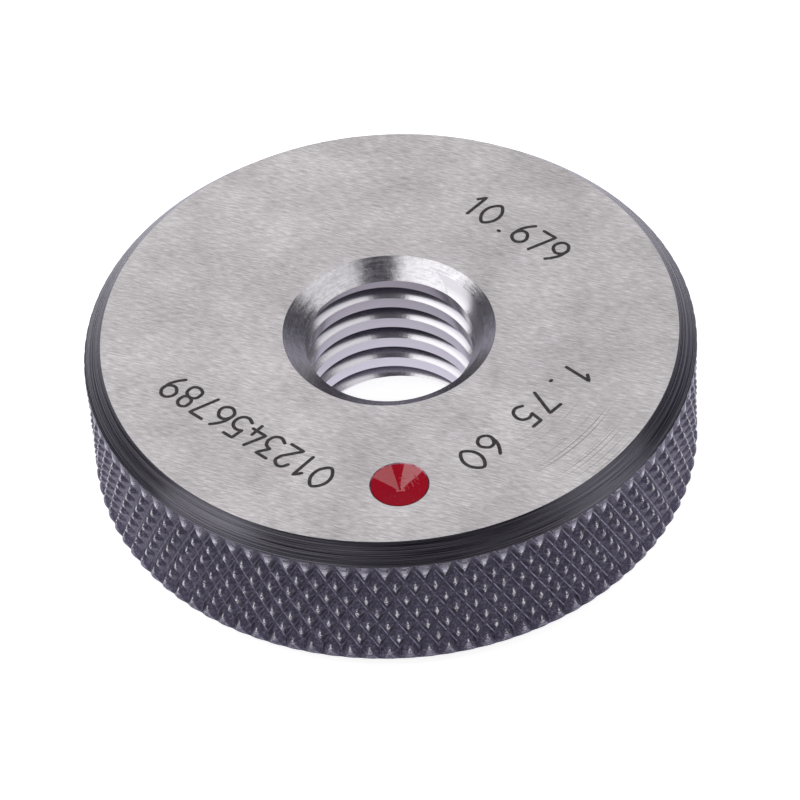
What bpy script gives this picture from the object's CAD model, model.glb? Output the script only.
from math import atan2, hypot, pi, radians, tan, tau

import bmesh
import bpy
from mathutils import Matrix, Quaternion, Vector


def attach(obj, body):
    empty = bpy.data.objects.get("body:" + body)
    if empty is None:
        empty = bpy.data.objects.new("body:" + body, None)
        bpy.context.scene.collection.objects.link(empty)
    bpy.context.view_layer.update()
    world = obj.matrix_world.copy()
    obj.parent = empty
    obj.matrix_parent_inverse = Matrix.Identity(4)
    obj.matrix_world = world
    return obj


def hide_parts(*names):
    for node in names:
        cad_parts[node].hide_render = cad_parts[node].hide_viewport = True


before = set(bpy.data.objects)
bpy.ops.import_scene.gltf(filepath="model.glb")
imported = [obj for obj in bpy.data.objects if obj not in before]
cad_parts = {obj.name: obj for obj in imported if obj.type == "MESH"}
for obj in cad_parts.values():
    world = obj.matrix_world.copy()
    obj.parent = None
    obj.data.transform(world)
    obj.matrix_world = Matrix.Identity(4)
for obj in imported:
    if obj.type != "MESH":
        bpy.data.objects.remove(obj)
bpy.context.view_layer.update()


# ---- Gauge ring ----
# One piece of hardened gauge steel: a turned disc with a threaded bore and a knurled
# rim, blackened all over, then ground on both faces and lapped in the thread.
# Every size is in millimetres until the finished mesh is scaled to metres.
rim_radius = 19.0
thickness = 10.3
rim_chamfer = 1.1
crest_radius = 5.25
countersink_radius = 6.6
countersink_slope = radians(34)
countersink_depth = (countersink_radius - crest_radius) * tan(countersink_slope)
mm_per_metre = 1000.0
to_metres = Matrix.Scale(1 / mm_per_metre, 4)
weld_distance = 1e-4


def outline(bm, points, closed=True):
    """Edges through (radius, height) points in the plane y = 0, as vertices and edges."""
    verts = [bm.verts.new((radius, 0, height)) for radius, height in points]
    ends = verts[1:] + verts[:1] if closed else verts[1:]
    return verts + [bm.edges.new(pair) for pair in zip(verts, ends)]


def spun(bm, geometry, steps, angle=tau, rise=0.0):
    """Turns geometry about the bore's axis, with a rise for each step."""
    bmesh.ops.spin(
        bm, geom=geometry, axis=(0, 0, 1), cent=(0, 0, 0), dvec=(0, 0, rise),
        angle=angle, steps=steps, use_merge=rise == 0, use_duplicate=False,
    )
    bmesh.ops.remove_doubles(bm, verts=bm.verts, dist=weld_distance)
    bmesh.ops.recalc_face_normals(bm, faces=bm.faces)


def solid(name, bm, *materials):
    """Object with these materials from a bmesh, which is freed."""
    mesh = bpy.data.meshes.new(name)
    bm.to_mesh(mesh)
    bm.free()
    for material in materials:
        mesh.materials.append(material)
    made = bpy.data.objects.new(name, mesh)
    bpy.context.scene.collection.objects.link(made)
    return made


def cut(body, tool, operation, overlapping=False):
    """Applies a boolean of tool to body, with the tool's materials on the cut, and
    drops the tool. Only a tool that crosses itself is overlapping."""
    step = body.modifiers.new(operation, "BOOLEAN")
    step.operation = operation
    step.solver = "EXACT"
    step.material_mode = "TRANSFER"
    step.use_self = overlapping
    step.object = tool
    evaluated = body.evaluated_get(bpy.context.evaluated_depsgraph_get())
    mesh = bpy.data.meshes.new_from_object(evaluated)
    body.modifiers.clear()
    body.data = mesh
    bpy.data.objects.remove(tool)


def linear(code):
    """Linear colour from an sRGB hex code."""
    parts = [int(code[i:i + 2], 16) / 255 for i in (1, 3, 5)]
    return [c / 12.92 if c <= 0.04045 else ((c + 0.055) / 1.055) ** 2.4 for c in parts] + [1]


def add(tree, kind, **settings):
    """Adds a node. A setting names a property, or an input socket, which takes a
    value or another node's output. A name such as in_1 is an input's number, and
    stops are a ramp's (position, hex colour) pairs."""
    node = tree.nodes.new("ShaderNode" + kind)
    for name, value in settings.items():
        if name == "stops":
            places = node.color_ramp.elements
            while len(places) < len(value):
                places.new(0.5)
            for element, (position, colour) in zip(places, value):
                element.position = position
                element.color = linear(colour)
            continue
        if hasattr(node, name):
            setattr(node, name, value)
            continue
        key = int(name[3:]) if name.startswith("in_") else name.replace("_", " ")
        if isinstance(value, bpy.types.NodeSocket):
            tree.links.new(value, node.inputs[key])
        else:
            node.inputs[key].default_value = value
    return node


def finish(name, colour, metallic, roughness):
    """Material with plain values, its node tree, its shader and the coordinates of
    a place on the object in millimetres."""
    made = bpy.data.materials.new(name)
    made.use_nodes = True
    tree = made.node_tree
    shader = tree.nodes["Principled BSDF"]
    shader.inputs["Base Color"].default_value = linear(colour)
    shader.inputs["Metallic"].default_value = metallic
    shader.inputs["Roughness"].default_value = roughness
    place = add(tree, "TexCoord")
    in_mm = add(tree, "VectorMath", operation="SCALE", in_0=place.outputs["Object"],
                Scale=mm_per_metre)
    return made, tree, shader, in_mm.outputs[0]


def about_axis(tree, place):
    """A place's coordinates, its place on the plane z = 0, and its distance from
    the axis."""
    parts = add(tree, "SeparateXYZ", Vector=place)
    flat = add(tree, "CombineXYZ", X=parts.outputs[0], Y=parts.outputs[1])
    radius = add(tree, "VectorMath", operation="LENGTH", in_0=flat.outputs[0])
    return parts.outputs, flat.outputs[0], radius.outputs["Value"]


def from_middle(tree, height):
    """How far a height is above or below the middle of the ring."""
    signed = add(tree, "Math", operation="SUBTRACT", in_0=height, in_1=thickness / 2)
    return add(tree, "Math", operation="ABSOLUTE", in_0=signed.outputs[0]).outputs[0]


def turned(tree, place, length, pitch, detail, roughness):
    """Pattern of turning lines round the axis, so long and so far apart."""
    drawn_out = add(tree, "VectorMath", operation="MULTIPLY", in_0=place,
                    in_1=(1 / length, 1 / length, 1 / pitch))
    return add(tree, "TexNoise", Vector=drawn_out.outputs[0], Scale=1.0, Detail=detail,
               Roughness=roughness)


# Surface-ground steel, warm light grey. The wheel leaves short streaks, all one way,
# with faint cloudy stains between them: the real streaks are a few hundredths of a
# millimetre wide, and are drawn at a tenth so that they show. On one side a turn
# against another ring has left a few fine arcs.
streak_angle = radians(-22)
streak_length = 0.8
streak_width = 0.1
stain_size = 4.545
arc_spacing = 1 / 6
scored_centre = (10.6, -10.3, 0)
scored_reach, scored_core = 3.8, 2.0
ground_steel, tree, shader, mm = finish("surface_ground_steel", "#BFBBBC", 1.0, 0.40)
along = add(tree, "Mapping", Vector=mm, Rotation=(0, 0, -streak_angle))
lanes = add(tree, "Mapping", Vector=along.outputs[0],
            Scale=(1 / streak_length, 1 / streak_width, 1 / streak_width))
streaks = add(tree, "TexNoise", Vector=lanes.outputs[0], Scale=1.0, Detail=3.0, Roughness=0.7)
clouds = add(tree, "TexNoise", Vector=mm, Scale=1 / stain_size, Detail=6.0, Roughness=0.6)
both = add(tree, "MixRGB", Fac=0.34, Color1=streaks.outputs[0], Color2=clouds.outputs[0])
ground = add(tree, "ValToRGB", Fac=both.outputs[0],
             stops=[(0.34, "#9D9999"), (0.5, "#BFBBBC"), (0.66, "#E0DDDD")])
_, flat, radius = about_axis(tree, mm)
rings = add(tree, "CombineXYZ", X=radius)
arcs = add(tree, "TexNoise", Vector=rings.outputs[0], Scale=1 / arc_spacing, Detail=2.0,
           Roughness=0.8)
fine = add(tree, "MapRange", Value=arcs.outputs[0], From_Min=0.54, From_Max=0.60)
patch = add(tree, "VectorMath", operation="DISTANCE", in_0=flat, in_1=scored_centre)
near = add(tree, "MapRange", Value=patch.outputs["Value"], From_Min=scored_reach,
           From_Max=scored_core)
dashes = add(tree, "MapRange", Value=clouds.outputs[0], From_Min=0.38, From_Max=0.55)
marked = add(tree, "Math", operation="MULTIPLY", in_0=fine.outputs[0], in_1=near.outputs[0])
marked = add(tree, "Math", operation="MULTIPLY", in_0=marked.outputs[0], in_1=dashes.outputs[0])
scored = add(tree, "MixRGB", Fac=marked.outputs[0], Color1=ground.outputs[0],
             Color2=linear("#8A8584"))
tree.links.new(scored.outputs[0], shader.inputs["Base Color"])
# The height of a relief is in metres, as the finished mesh is
relief = add(tree, "Bump", Height=streaks.outputs[0], Strength=0.3, Distance=0.00002)
tree.links.new(relief.outputs[0], shader.inputs["Normal"])

# Black-oxided chamfer: a glossy near black that mirrors the room at the sides, with the
# tool's turning lines running round it, drawn slightly coarser than they are
black_turned, tree, shader, mm = finish("black_oxide_turned", "#1D1C1D", 0.0, 0.18)
shader.inputs["IOR"].default_value = 1.75
shader.inputs["Specular Tint"].default_value = linear("#E6E2F4")
lines = turned(tree, mm, length=100 / 3, pitch=1 / 13, detail=2.0, roughness=0.6)
oxide = add(tree, "ValToRGB", Fac=lines.outputs[0],
            stops=[(0.40, "#030203"), (0.54, "#0A090A"), (0.66, "#403E3E")])
tree.links.new(oxide.outputs[0], shader.inputs["Base Color"])
relief = add(tree, "Bump", Height=lines.outputs[0], Strength=1.0, Distance=0.00006)
tree.links.new(relief.outputs[0], shader.inputs["Normal"])

# Black-oxided knurl: violet-black mottled facets that mirror the table faintly. The
# points, and the upright ridges next to them, are rubbed back to bright steel in torn
# flecks, which fade beside the lands at both ends.
knurl_half_teeth = 198
knurl_start = radians(0.76)
oxide_grain = 0.2
fleck_grain = 0.1
ridge_foot, ridge_top = rim_radius - 0.17, rim_radius - 0.10
point_foot, point_top = rim_radius - 0.10, rim_radius - 0.03
land_side, last_point = 3.7, 3.3
black_knurl, tree, shader, mm = finish("black_oxide_knurled", "#3D3947", 0.0, 0.3)
shader.inputs["IOR"].default_value = 1.85
shader.inputs["Specular Tint"].default_value = linear("#DAD3F4")
(east, north, height), _, radius = about_axis(tree, mm)
grain = add(tree, "TexNoise", Vector=mm, Scale=1 / oxide_grain, Detail=5.0, Roughness=0.7)
oxide = add(tree, "ValToRGB", Fac=grain.outputs[0],
            stops=[(0.36, "#0F0C14"), (0.5, "#272330"), (0.62, "#666270")])
tree.links.new(oxide.outputs[0], shader.inputs["Base Color"])
relief = add(tree, "Bump", Height=grain.outputs[0], Strength=0.5, Distance=0.00003)
tree.links.new(relief.outputs[0], shader.inputs["Normal"])
turn = add(tree, "Math", operation="ARCTAN2", in_0=north, in_1=east)
column = add(tree, "Math", operation="MULTIPLY_ADD", in_0=turn.outputs[0],
             in_1=knurl_half_teeth / tau, in_2=-knurl_start * knurl_half_teeth / tau)
aside = add(tree, "Math", operation="PINGPONG", in_0=column.outputs[0], in_1=0.5)
ridge = add(tree, "MapRange", Value=aside.outputs[0], From_Min=0.12, From_Max=0.04)
upper = add(tree, "MapRange", Value=radius, From_Min=ridge_foot, From_Max=ridge_top)
spike = add(tree, "Math", operation="MULTIPLY", in_0=ridge.outputs[0], in_1=upper.outputs[0])
point = add(tree, "MapRange", Value=radius, From_Min=point_foot, From_Max=point_top)
bare = add(tree, "Math", operation="MAXIMUM", in_0=spike.outputs[0], in_1=point.outputs[0])
off_lands = add(tree, "MapRange", Value=from_middle(tree, height), From_Min=land_side,
                From_Max=last_point, To_Min=0.25)
bare = add(tree, "Math", operation="MULTIPLY", in_0=bare.outputs[0], in_1=off_lands.outputs[0])
torn = add(tree, "TexNoise", Vector=mm, Scale=1 / fleck_grain, Detail=2.0, Roughness=0.6)
patchy = add(tree, "MapRange", Value=torn.outputs[0], From_Min=0.40, From_Max=0.54)
worn = add(tree, "Math", operation="MULTIPLY", in_0=bare.outputs[0], in_1=patchy.outputs[0])
flecks = add(tree, "Bump", Height=grain.outputs[0], Strength=1.0, Distance=0.0001)
rubbed = add(tree, "BsdfPrincipled", Base_Color=linear("#FFFDFF"), Metallic=0.15,
             Roughness=0.4, Normal=flecks.outputs[0])
mixed = add(tree, "MixShader", Fac=worn.outputs[0], in_1=shader.outputs[0], in_2=rubbed.outputs[0])
tree.links.new(mixed.outputs[0], tree.nodes["Material Output"].inputs["Surface"])

# What is left of the turned rim, above and below the knurl and on its points: the oxide
# is rubbed thin in lines on the lands, and right through on the points, which shine
land_tip, point_side = 3.75, 3.2
rubbed_rim, tree, shader, mm = finish("rubbed_rim_oxide", "#7E7B88", 0.9, 0.34)
lines = turned(tree, mm, length=2.0, pitch=1 / 12, detail=3.0, roughness=0.6)
height = add(tree, "SeparateXYZ", Vector=mm).outputs[2]
on_point = add(tree, "MapRange", Value=from_middle(tree, height), From_Min=land_tip,
               From_Max=point_side)
thin = add(tree, "ValToRGB", Fac=lines.outputs[0],
           stops=[(0.38, "#55525E"), (0.52, "#7A7784"), (0.66, "#BDBAC6")])
rim = add(tree, "MixRGB", Fac=on_point.outputs[0], Color1=thin.outputs[0],
          Color2=linear("#ECEAF2"))
tree.links.new(rim.outputs[0], shader.inputs["Base Color"])

# Burnished oxide in the bottoms of the grooves that fall to the right, where the
# harder-worn wheel ran: thin paler lines that cross the dark facets
scuff_size = 1 / 3
burnished, tree, shader, mm = finish("burnished_oxide", "#7A7789", 0.3, 0.35)
scuffs = add(tree, "TexNoise", Vector=mm, Scale=1 / scuff_size, Detail=3.0, Roughness=0.6)
oxide = add(tree, "ValToRGB", Fac=scuffs.outputs[0],
            stops=[(0.36, "#65627A"), (0.5, "#868399"), (0.66, "#ABA8BB")])
tree.links.new(oxide.outputs[0], shader.inputs["Base Color"])

# Turned countersink, bare: bright, with turning lines that smear its reflections, drawn
# slightly coarser than they are, and a faint film that dulls them in places
film_patch = 1 / 3
bare_turned, tree, shader, mm = finish("bright_turned_steel", "#C9C8CA", 0.92, 0.16)
lines = turned(tree, mm, length=1 / 0.9, pitch=1 / 16, detail=4.0, roughness=0.7)
film = add(tree, "TexNoise", Vector=mm, Scale=1 / film_patch, Detail=6.0, Roughness=0.75)
both = add(tree, "MixRGB", Fac=0.5, Color1=lines.outputs[0], Color2=film.outputs[0])
dulled = add(tree, "MapRange", Value=both.outputs[0], From_Min=0.42, From_Max=0.62,
             To_Min=0.12, To_Max=0.24)
tree.links.new(dulled.outputs[0], shader.inputs["Roughness"])
bright = add(tree, "ValToRGB", Fac=both.outputs[0],
             stops=[(0.38, "#A4A2A5"), (0.5, "#BCBABD"), (0.60, "#CAC9CB")])
tree.links.new(bright.outputs[0], shader.inputs["Base Color"])
relief = add(tree, "Bump", Height=both.outputs[0], Strength=0.4, Distance=0.00003)
tree.links.new(relief.outputs[0], shader.inputs["Normal"])

# Ground thread flanks: nearly a mirror, slightly dulled by the wheel, greyer with old
# oil towards the root, and duller where they run out through the countersinks
oil_starts, oil_full = crest_radius + 0.12, crest_radius + 0.45
oil_end, bore_end, runout_end = 3.9, 4.25, 4.5
thread_flank, tree, shader, mm = finish("ground_thread_steel", "#CCCACD", 0.88, 0.17)
(_, _, height), _, radius = about_axis(tree, mm)
off_middle = from_middle(tree, height)
deep = add(tree, "MapRange", Value=radius, From_Min=oil_starts, From_Max=oil_full)
inside = add(tree, "MapRange", Value=off_middle, From_Min=bore_end, From_Max=oil_end)
oiled = add(tree, "Math", operation="MULTIPLY", in_0=deep.outputs[0], in_1=inside.outputs[0])
filmed = add(tree, "MixRGB", Fac=oiled.outputs[0], Color1=linear("#CCCACD"),
             Color2=linear("#A6A3AE"))
runs_out = add(tree, "MapRange", Value=off_middle, From_Min=bore_end, From_Max=runout_end)
dulled = add(tree, "MixRGB", Fac=runs_out.outputs[0], Color1=filmed.outputs[0],
             Color2=linear("#B2AFB4"))
tree.links.new(dulled.outputs[0], shader.inputs["Base Color"])

# Lapped thread crests: smooth narrow bands, nearly white at the bottom of the bore and
# greyer towards the top, where the lap was worked in
pale_below, grey_above = 1.5, 8.5
lapped_crest, tree, shader, mm = finish("lapped_crest_steel", "#C9C5D8", 1.0, 0.2)
height = add(tree, "SeparateXYZ", Vector=mm).outputs[2]
upward = add(tree, "MapRange", Value=height, From_Min=pale_below, From_Max=grey_above)
cast = add(tree, "ValToRGB", Fac=upward.outputs[0], stops=[(0.0, "#F6F3F6"), (1.0, "#ACA8AB")])
tree.links.new(cast.outputs[0], shader.inputs["Base Color"])

# Drilled steel of the dimple's wall: dull, with a red stain where the lacquer thins out
thin_patch = 0.5
drilled, tree, shader, mm = finish("drilled_steel", "#A06A76", 1.0, 0.35)
stain = add(tree, "TexNoise", Vector=mm, Scale=1 / thin_patch, Detail=3.0, Roughness=0.6)
tinted = add(tree, "ValToRGB", Fac=stain.outputs[0],
             stops=[(0.38, "#7C3F4C"), (0.62, "#B88A94")])
tree.links.new(tinted.outputs[0], shader.inputs["Base Color"])

ring_materials = [
    ground_steel, black_turned, black_knurl, rubbed_rim, burnished,
    bare_turned, thread_flank, lapped_crest, drilled,
]
FACE, CHAMFER, KNURL, RIM, GROOVE, SINK, FLANK, CREST, DRILLED = range(len(ring_materials))


def painted(bm, number):
    """Gives every face the ring's material of that number."""
    for face in bm.faces:
        face.material_index = number


# The blank is turned from its outline, and each of its faces is told by how far its
# normal leans from level and how far from the axis it lies
turned_steps = 2 * knurl_half_teeth
level_normal = 0.95
upright_normal = 0.2
crest_play = 0.05

bm = bmesh.new()
profile = outline(bm, [
    (crest_radius, countersink_depth),
    (countersink_radius, 0),
    (rim_radius - rim_chamfer, 0),
    (rim_radius, rim_chamfer),
    (rim_radius, thickness - rim_chamfer),
    (rim_radius - rim_chamfer, thickness),
    (countersink_radius, thickness),
    (crest_radius, thickness - countersink_depth),
])
spun(bm, profile, turned_steps)
for face in bm.faces:
    centre = face.calc_center_median()
    off_axis = hypot(centre.x, centre.y)
    if abs(face.normal.z) > level_normal:
        face.material_index = FACE
    elif off_axis < crest_radius + crest_play:
        face.material_index = CREST
    elif off_axis < countersink_radius:
        face.material_index = SINK
    elif abs(face.normal.z) > upright_normal:
        face.material_index = CHAMFER
    else:
        face.material_index = RIM
ring = solid("gauge_ring_body", bm, *ring_materials)

# The knurl is rolled in as two sets of crossing grooves, which leave staggered rows
# of four-sided points, blunt where they still hold a little of the turned rim. The
# grooves climb out past the end rows and stop short of the chamfers. The form made
# here is what the two wheels leave, and the ring is what it shares with the blank.
knurl_rows = 7
knurl_row_pitch = 1.127
knurl_top_row = thickness - 1.95
knurl_runout = 1.5
knurl_stop = 0.82
knurl_stop_wall = 0.1
knurl_depth = 0.45
knurl_point_height = 0.05
knurl_groove_bottom = 0.055
past_end = 1
groove_slope = (0.4, 2.5)

point_radius = rim_radius + knurl_point_height
stop_depth = knurl_depth - (knurl_depth + knurl_point_height) * knurl_stop / knurl_runout
rows = [(knurl_top_row - row * knurl_row_pitch, knurl_depth) for row in range(knurl_rows)]
above, below = rows[0][0] + knurl_stop, rows[-1][0] - knurl_stop
levels = [(thickness + past_end, 0), (above + knurl_stop_wall, 0), (above, stop_depth), *rows,
          (below, stop_depth), (below - knurl_stop_wall, 0), (-past_end, 0)]
first_row = levels.index(rows[0])
bm = bmesh.new()
column = outline(bm, [(point_radius, level) for level, _ in levels], closed=False)
spun(bm, column, knurl_half_teeth)

# Every second place in a row is where two grooves cross, and is pushed in
low = {}
for vert in bm.verts:
    number = min(range(len(levels)), key=lambda i: abs(levels[i][0] - vert.co.z))
    depth = levels[number][1]
    row = min(max(number - first_row, 0), knurl_rows - 1)
    step = round(atan2(vert.co.y, vert.co.x) / tau * knurl_half_teeth)
    if depth and (step + row) % 2:
        low[vert] = depth
for vert, depth in low.items():
    vert.co.xy *= (rim_radius - depth) / point_radius

# Each square between the places is folded along its groove, and the folds get flats
for face in list(bm.faces):
    corners = list(face.verts)
    sunk = sorted((vert for vert in corners if vert in low), key=low.get)
    if not sunk:
        continue
    place = corners.index(sunk[0])
    if len(sunk) == 1:
        bmesh.utils.face_split(face, corners[place - 1], corners[(place + 1) % 4])
    else:
        bmesh.utils.face_split(face, sunk[0], corners[(place + 2) % 4])
bmesh.ops.holes_fill(bm, edges=[edge for edge in bm.edges if edge.is_boundary], sides=0)
band = [edge for edge in bm.edges if any(vert in low for vert in edge.verts)]
eased = bmesh.ops.bevel(
    bm, geom=band, offset=knurl_groove_bottom, segments=1, profile=0.5,
    affect="EDGES", material=-1, clamp_overlap=True,
)["faces"]
bmesh.ops.recalc_face_normals(bm, faces=bm.faces)
painted(bm, KNURL)
for face in eased:
    first, last = max(face.edges, key=lambda edge: edge.calc_length()).verts
    along = last.co - first.co
    round_rim = along.dot(Vector((-first.co.y, first.co.x, 0)).normalized())
    falls = round_rim * along.z < 0
    if falls and groove_slope[0] < abs(along.z / round_rim) < groove_slope[1]:
        face.material_index = GROOVE
bmesh.ops.rotate(
    bm, verts=bm.verts, cent=(0, 0, 0), matrix=Matrix.Rotation(knurl_start, 3, "Z"),
)
cut(ring, solid("knurl", bm, *ring_materials), "INTERSECT")

# The thread is a right-handed 60 degree groove, cut from face to face. Its sharp root
# is rounded back to a radius of about 6, the nominal one.
thread_pitch = 1.75
thread_pitch_radius = 10.679 / 2
flank_slope = tan(radians(30))
groove_mouth = crest_radius - 0.3
sharp_root = 6.09
root_rounding = 0.1
groove_angle_at_top = radians(129)
thread_steps = 120
thread_turns = 9
turns_below_top = 7


def half_width(radius):
    """Half the width of the groove at that distance from the axis."""
    return thread_pitch / 4 - (radius - thread_pitch_radius) * flank_slope


bm = bmesh.new()
outline(bm, [
    (groove_mouth, -half_width(groove_mouth)), (sharp_root, -half_width(sharp_root)),
    (sharp_root, half_width(sharp_root)), (groove_mouth, half_width(groove_mouth)),
])
bm.faces.new(bm.verts[:])
bmesh.ops.bevel(
    bm, geom=[vert for vert in bm.verts if vert.co.x > crest_radius], offset=root_rounding,
    segments=4, profile=0.5, affect="VERTICES", material=-1, clamp_overlap=True,
)
bmesh.ops.translate(bm, verts=bm.verts, vec=(0, 0, thickness - turns_below_top * thread_pitch))
bmesh.ops.rotate(
    bm, verts=bm.verts, cent=(0, 0, 0), matrix=Matrix.Rotation(groove_angle_at_top, 3, "Z"),
)
spun(bm, bm.verts[:] + bm.edges[:] + bm.faces[:], thread_steps * thread_turns,
     tau * thread_turns, thread_pitch / thread_steps)
bmesh.ops.holes_fill(bm, edges=[edge for edge in bm.edges if edge.is_boundary], sides=0)
bmesh.ops.recalc_face_normals(bm, faces=bm.faces)
painted(bm, FLANK)
cut(ring, solid("thread_groove", bm, *ring_materials), "DIFFERENCE")

# The dimple is the cone of a drill point, for the colour that tells a not-go gauge. The
# drill's cone is a little larger than the dimple, so that it stands proud of the face.
dimple_centre = Vector((0, -13.26, thickness))
dimple_radius = 1.81
dimple_depth = dimple_radius * tan(radians(31))
dimple_steps = 96
drill_size = 1.3

bm = bmesh.new()
drill_radius, drill_top = dimple_radius * drill_size, dimple_depth * (drill_size - 1)
outline(bm, [(0, -dimple_depth), (drill_radius, drill_top), (0, drill_top)])
spun(bm, bm.verts[:] + bm.edges[:], dimple_steps)
bmesh.ops.translate(bm, verts=bm.verts, vec=dimple_centre)
painted(bm, DRILLED)
cut(ring, solid("drill_point", bm, *ring_materials), "DIFFERENCE")

# ---- Etched numbers ----
# Plain figures in the steel of the upper face, burnt in by an electric marking stylus:
# fine lines of one width with rounded ends, a few hundredths of a millimetre deep.
line_radius = 0.115
line_depth = 0.02
figure_height = 1.85
figure_width = 1.0
trace_step = 0.09

# Burnt oxide in the strokes: matt brown-black, and a little uneven
burn_size = 0.25
etched, tree, shader, mm = finish("etched_oxide", "#2B2725", 0.0, 0.6)
burn = add(tree, "TexNoise", Vector=mm, Scale=1 / burn_size, Detail=3.0, Roughness=0.6)
scorched = add(tree, "ValToRGB", Fac=burn.outputs[0],
               stops=[(0.38, "#1F1C1B"), (0.64, "#3B3633")])
tree.links.new(scorched.outputs[0], shader.inputs["Base Color"])
ETCHED = len(ring_materials)
ring_materials.append(etched)
ring.data.materials.append(etched)

# A stroke's end is rounded at these distances past it, to these shares of the line's
# radius. Each stroke is a way of drawing, a line of straight runs, an open curve or a
# closed loop, and its points in millimetres from the figure's lower left.
rounded_end = [(0.4, 0.93), (0.8, 0.62), (1.0, 0.1)]
figures = {
    ".": [("line", [(0.46, 0.06), (0.54, 0.06)])],
    "0": [("loop", [(0.5, 0), (1, 0.55), (1, 1.3), (0.5, 1.85), (0, 1.3), (0, 0.55)])],
    "1": [("line", [(0.28, 1.42), (0.62, 1.85), (0.62, 0)])],
    "2": [("curve", [(0.05, 1.4), (0.25, 1.76), (0.6, 1.84), (0.93, 1.55), (0.85, 1.1)]),
          ("line", [(0.85, 1.1), (0.03, 0), (1, 0)])],
    "3": [("line", [(0.1, 1.85), (0.92, 1.85), (0.45, 1.13)]),
          ("curve", [(0.45, 1.13), (0.82, 1.0), (1, 0.6), (0.85, 0.17), (0.48, 0), (0.05, 0.2)])],
    "4": [("line", [(0.55, 1.85), (0, 0.48), (1.02, 0.48)]), ("line", [(0.74, 0.9), (0.74, 0)])],
    "5": [("line", [(0.88, 1.85), (0.2, 1.85), (0.12, 1.05)]),
          ("curve", [(0.12, 1.05), (0.5, 1.17), (0.88, 0.98), (1, 0.58), (0.84, 0.17), (0.45, 0),
                     (0.04, 0.18)])],
    "6": [("loop", [(0.5, 0), (0.9, 0.22), (0.98, 0.6), (0.7, 1.0), (0.3, 1.0), (0.02, 0.6),
                    (0.1, 0.22)]),
          ("curve", [(0.02, 0.6), (0.1, 1.05), (0.35, 1.5), (0.66, 1.85)])],
    "7": [("line", [(0.02, 1.85), (0.98, 1.85), (0.32, 0)])],
    "8": [("loop", [(0.5, 0), (0.9, 0.2), (0.9, 0.72), (0.5, 0.95), (0.1, 0.72), (0.1, 0.2)]),
          ("loop", [(0.5, 0.95), (0.83, 1.14), (0.83, 1.64), (0.5, 1.85), (0.17, 1.64),
                    (0.17, 1.14)])],
    "9": [("loop", [(0.5, 0.83), (0.9, 1.06), (0.97, 1.45), (0.7, 1.82), (0.3, 1.82),
                    (0.03, 1.45), (0.1, 1.06)]),
          ("curve", [(0.97, 1.45), (0.9, 0.85), (0.65, 0.38), (0.34, 0)])],
}


def traced(way, points):
    """Close-set points along a stroke, each with its share of the line's radius. A
    curve or a loop passes smoothly through the points."""
    points = [Vector(point) for point in points]
    if way == "loop":
        around = points[-1:] + points + points[:2]
    else:
        around = [2 * points[0] - points[1], *points, 2 * points[-1] - points[-2]]
    path = []
    for before, start, end, after in zip(around, around[1:], around[2:], around[3:]):
        steps = max(2, round((end - start).length / trace_step))
        for part in (step / steps for step in range(steps)):
            if way == "line":
                path.append(start.lerp(end, part))
            else:
                path.append(0.5 * (
                    2 * start + (end - before) * part
                    + (2 * before - 5 * start + 4 * end - after) * part ** 2
                    + (3 * start - before - 3 * end + after) * part ** 3
                ))
    if way == "loop":
        return [(point, 1.0) for point in path]
    path.append(points[-1])
    first = (path[0] - path[1]).normalized() * line_radius
    last = (path[-1] - path[-2]).normalized() * line_radius
    return (
        [(path[0] + first * reach, share) for reach, share in reversed(rounded_end)]
        + [(point, 1.0) for point in path]
        + [(path[-1] + last * reach, share) for reach, share in rounded_end]
    )


def etch(bm, text, first, last):
    """Adds figures in a row to a bmesh, from the middle of the first to that of the
    last. Their round lines are flattened to the depth of the etching."""
    curve = bpy.data.curves.new("figures", "CURVE")
    curve.dimensions = "3D"
    curve.bevel_depth = line_radius
    curve.bevel_resolution = 1
    curve.use_fill_caps = True
    first, last = Vector(first), Vector(last)
    pitch = (last - first).length / (len(text) - 1)
    for number, figure in enumerate(text):
        for way, points in figures.get(figure, []):
            path = traced(way, points)
            spline = curve.splines.new("POLY")
            spline.use_cyclic_u = way == "loop"
            spline.points.add(len(path) - 1)
            for point, (place, share) in zip(spline.points, path):
                point.co = (number * pitch + place.x - figure_width / 2,
                            place.y - figure_height / 2, 0, 1)
                point.radius = share
    drawn = bpy.data.objects.new("figures", curve)
    bpy.context.scene.collection.objects.link(drawn)
    bpy.context.view_layer.update()
    mesh = bpy.data.meshes.new_from_object(
        drawn.evaluated_get(bpy.context.evaluated_depsgraph_get()))
    bpy.data.objects.remove(drawn)
    turn = (last - first).to_2d().angle_signed(Vector((1, 0)))
    mesh.transform(
        Matrix.Translation((first.x, first.y, thickness)) @ Matrix.Rotation(turn, 4, "Z")
        @ Matrix.Diagonal((1, 1, line_depth / line_radius, 1))
    )
    bm.from_mesh(mesh)


bm = bmesh.new()
etch(bm, "10.679", (6.0, 10.7), (10.8, 5.9))
etch(bm, "1.75 60", (11.4, -4.9), (4.5, -11.6))
etch(bm, "0123456789", (-4.66, -12.22), (-13.4, -3.78))
bmesh.ops.remove_doubles(bm, verts=bm.verts, dist=weld_distance)
bmesh.ops.recalc_face_normals(bm, faces=bm.faces)
painted(bm, ETCHED)
cut(ring, solid("stylus", bm, *ring_materials), "DIFFERENCE", overlapping=True)

# The ring is whole now: its edges stay sharp where they turn by more than a few degrees
crease = radians(12)
ring.data.transform(to_metres)
for polygon in ring.data.polygons:
    polygon.use_smooth = True
ring.data.set_sharp_from_angle(angle=crease)
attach(ring, "root")
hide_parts("gauge_ring")

# ---- Lacquer mark ----
# A drop of red enamel that fills the bottom of the dimple and wets its wall, drying
# with a hollow top. It is put on by hand, and marks a not-go gauge.

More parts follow.
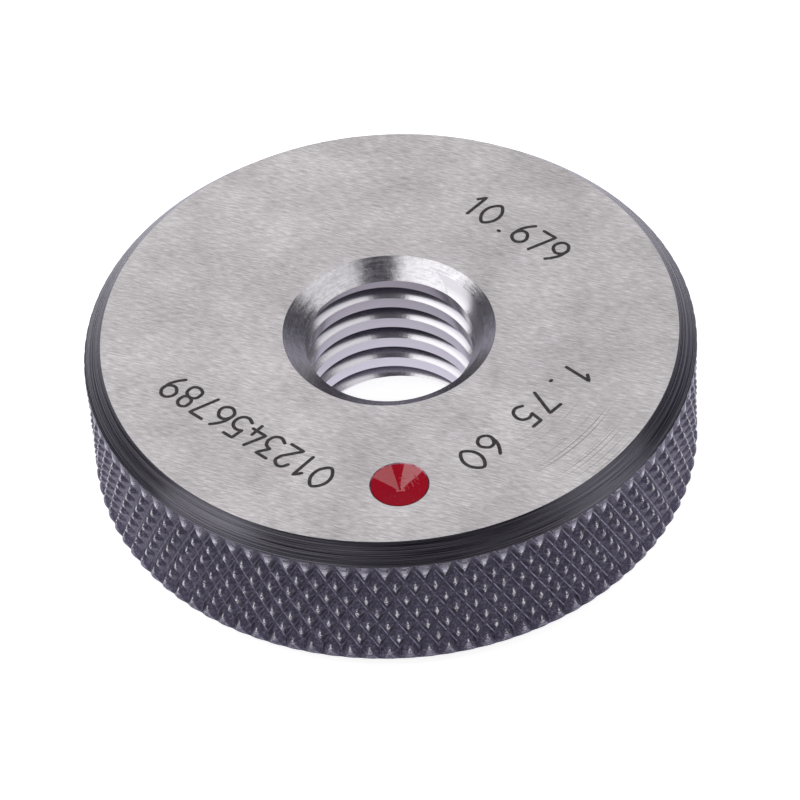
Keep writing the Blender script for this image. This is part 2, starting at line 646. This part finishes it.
# Red signal lacquer, dried glassy. On one side the drill's rings show through as faint
# ripples, and there are a few specks of dust.
ripple_spacing = 1 / 7
rippled_place = (0.6, 0.55, 0)
rippled_reach, rippled_core = 0.65, 0.4
dust_size = 1 / 11
lacquer, tree, shader, mm = finish("red_signal_lacquer", "#A2001B", 0.0, 0.05)
shader.inputs["IOR"].default_value = 1.7
centred = add(tree, "VectorMath", operation="SUBTRACT", in_0=mm, in_1=dimple_centre)
_, flat, radius = about_axis(tree, centred.outputs[0])
rings = add(tree, "CombineXYZ", X=radius)
ripples = add(tree, "TexNoise", Vector=rings.outputs[0], Scale=1 / ripple_spacing, Detail=2.0,
              Roughness=0.6)
ridges = add(tree, "MapRange", Value=ripples.outputs[0], From_Min=0.52, From_Max=0.62)
patch = add(tree, "VectorMath", operation="DISTANCE", in_0=flat, in_1=rippled_place)
near = add(tree, "MapRange", Value=patch.outputs["Value"], From_Min=rippled_reach,
           From_Max=rippled_core)
rippled = add(tree, "Math", operation="MULTIPLY", in_0=ridges.outputs[0], in_1=near.outputs[0])
relief = add(tree, "Bump", Height=rippled.outputs[0], Strength=0.5, Distance=0.00003)
tree.links.new(relief.outputs[0], shader.inputs["Normal"])
dust = add(tree, "TexNoise", Vector=mm, Scale=1 / dust_size, Detail=2.0, Roughness=0.5)
specks = add(tree, "ValToRGB", Fac=dust.outputs[0],
             stops=[(0.30, "#6E0014"), (0.36, "#A2001B"), (0.70, "#A2001B"), (0.76, "#C46A78")])
tree.links.new(specks.outputs[0], shader.inputs["Base Color"])
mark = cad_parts["lacquer_mark"]
mark.data.materials.clear()
mark.data.materials.append(lacquer)

# ---- Floor ----
# Plain matt white table, which the ring stands loose on. It looks white to the eye and
# in the steel, and keeps the soft shadow under the ring. In the steel it is dim in front
# of the ring, where the unlit side of the room lies.
floor_half_width = 3.0
dim_up_to, bright_from = -0.032, -0.012
white_floor = bpy.data.materials.new("white_table")
white_floor.use_nodes = True
tree = white_floor.node_tree
tree.nodes.clear()
matt = add(tree, "BsdfDiffuse", Color=linear("#C8C8C8"))
rays = add(tree, "LightPath")
mirrored = add(tree, "Math", operation="MAXIMUM", in_0=rays.outputs["Is Glossy Ray"],
               in_1=rays.outputs["Is Transmission Ray"])
place = add(tree, "TexCoord")
parts = add(tree, "SeparateXYZ", Vector=place.outputs["Object"])
lit_part = add(tree, "MapRange", Value=parts.outputs[1], From_Min=dim_up_to,
               From_Max=bright_from, To_Min=0.05, To_Max=0.6)
mirrored = add(tree, "Math", operation="MULTIPLY", in_0=mirrored.outputs[0],
               in_1=lit_part.outputs[0])
direct = add(tree, "Math", operation="MULTIPLY", in_0=rays.outputs["Is Camera Ray"], in_1=0.85)
level = add(tree, "Math", operation="MAXIMUM", in_0=direct.outputs[0], in_1=mirrored.outputs[0])
tint = add(tree, "MixRGB", Fac=rays.outputs["Is Camera Ray"], Color1=linear("#F0ECFF"),
           Color2=linear("#FFFFFF"))
glow = add(tree, "Emission", Color=tint.outputs[0], Strength=level.outputs[0])
both = add(tree, "AddShader", in_0=matt.outputs[0], in_1=glow.outputs[0])
add(tree, "OutputMaterial", Surface=both.outputs[0])
bm = bmesh.new()
bmesh.ops.create_grid(bm, x_segments=1, y_segments=1, size=floor_half_width)
floor = solid("floor", bm, white_floor)

# ---- Light ----
# Two softboxes overhead with a dark gap between them, one behind, two low at the sides
# and a long low one in front. A pale backdrop stands round the horizon, and is darker
# straight behind, so that the edge of the box there shows in the lacquer.
world = bpy.data.worlds.new("studio")
bpy.context.scene.world = world
world.use_nodes = True
tree = world.node_tree
tree.nodes.clear()
rays = add(tree, "LightPath")
place = add(tree, "TexCoord")
parts = add(tree, "SeparateXYZ", Vector=place.outputs["Object"])
backdrop = add(tree, "MapRange", Value=parts.outputs[2], From_Min=0.1, From_Max=0.4,
               To_Min=0.55, To_Max=0.1)
behind = add(tree, "MapRange", Value=parts.outputs[1], From_Min=0.96, From_Max=0.84, To_Min=0.3)
backdrop = add(tree, "Math", operation="MULTIPLY", in_0=backdrop.outputs[0],
               in_1=behind.outputs[0])
level = add(tree, "Math", operation="MAXIMUM", in_0=backdrop.outputs[0],
            in_1=rays.outputs["Is Camera Ray"])
tint = add(tree, "MixRGB", Fac=rays.outputs["Is Camera Ray"], Color1=linear("#EEEAFF"),
           Color2=linear("#FFFFFF"))
sky = add(tree, "Background", Color=tint.outputs[0], Strength=level.outputs[0])
add(tree, "OutputWorld", Surface=sky.outputs[0])


def softbox(name, centre, size, aim, brightness, turn=0):
    """Evenly lit panel that faces a place, as bright as that many times white, and
    turned in its own plane by so many degrees. The camera doesn't see it."""
    light = bpy.data.lights.new(name, "AREA")
    light.shape = "RECTANGLE"
    light.size, light.size_y = size
    light.energy = brightness * pi * size[0] * size[1]
    lamp = bpy.data.objects.new(name, light)
    lamp.location = centre
    lamp.rotation_mode = "QUATERNION"
    lamp.rotation_quaternion = (
        (Vector(aim) - Vector(centre)).to_track_quat("-Z", "Y")
        @ Quaternion((0, 0, 1), radians(turn))
    )
    lamp.visible_camera = False
    bpy.context.scene.collection.objects.link(lamp)


softbox("softbox_left", (-0.385, 0.0, 0.6), (0.62, 0.62), (-0.385, 0.0, 0), 1.75, -6)
softbox("softbox_right", (0.42, 0.04, 0.6), (0.6, 0.7), (0.42, 0.04, 0), 1.1, 20)
softbox("softbox_back", (-0.04, 0.66, 0.66), (0.44, 0.5), (0, 0, 0), 1.38)
softbox("softbox_low_left", (-0.75, -0.25, 0.5), (0.5, 0.45), (0, 0, 0), 2.6)
softbox("softbox_low_right", (0.75, -0.2, 0.42), (0.5, 0.4), (0, 0, 0), 2.0)
softbox("softbox_front", (0, -0.72, 0.2), (0.9, 0.2), (0, 0, 0), 1.2)

# ---- Camera ----
# A long lens 0.3 metres away in front of the ring, which looks down on it at about 45
# degrees and leans a little to one side.
camera_place = Vector((0, -0.210942, 0.217810))
looked_at = Vector((0.000378, -0.006186, 0.0103))
camera_lean = radians(-3.747)

camera_data = bpy.data.cameras.new("camera")
camera_data.lens = 215.48
camera_data.sensor_width = 36.0
camera_data.sensor_fit = "HORIZONTAL"
camera_data.clip_start = 0.01
camera = bpy.data.objects.new("camera", camera_data)
bpy.context.scene.collection.objects.link(camera)
bpy.context.scene.camera = camera
camera.location = camera_place
camera.rotation_mode = "QUATERNION"
camera.rotation_quaternion = (
    (looked_at - camera_place).to_track_quat("-Z", "Y") @ Quaternion((0, 0, 1), camera_lean)
)
bpy.context.scene.view_settings.view_transform = "Standard"
